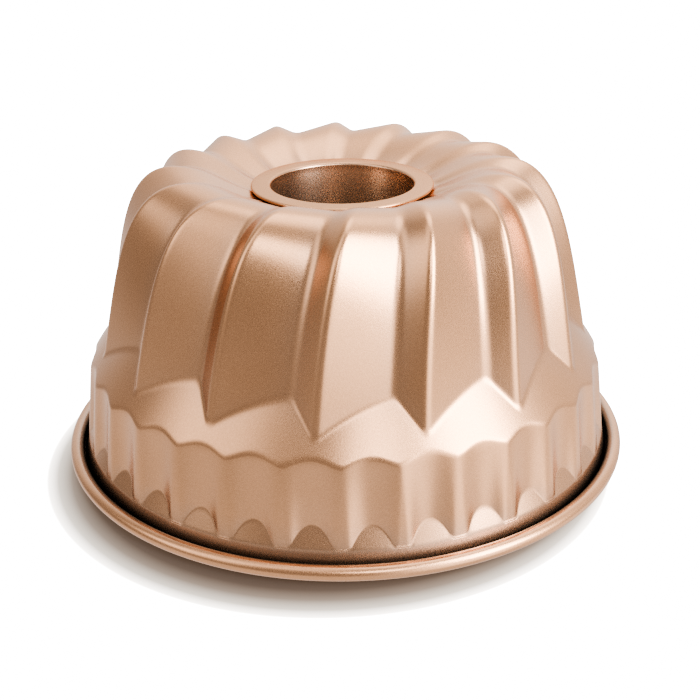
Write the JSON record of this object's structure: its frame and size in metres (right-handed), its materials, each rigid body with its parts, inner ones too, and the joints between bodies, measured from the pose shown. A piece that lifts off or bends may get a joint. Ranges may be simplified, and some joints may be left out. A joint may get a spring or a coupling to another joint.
{
  "type": "fluted ring cake pan",
  "caption": "Fluted ring cake pan, shown upside down: a pressed body with a swirled dome, grooved skirt and curled rim, and a tapered centre tube seated in its crown.",
  "frame": {"origin": "centre of the mouth plane, on which the upturned pan rests", "axes": "+Z along the pan's axis from the mouth up to the crown, -Y through the foot of a flute crest"},
  "size_m": [0.24, 0.24, 0.1202],
  "materials": {
    "coated_steel": "satin metallic non-stick coating, fine sparkle"
  },
  "bodies": {
    "root": {"pan_body": "coated_steel", "center_tube": "coated_steel"}
  },
  "joints": []
}
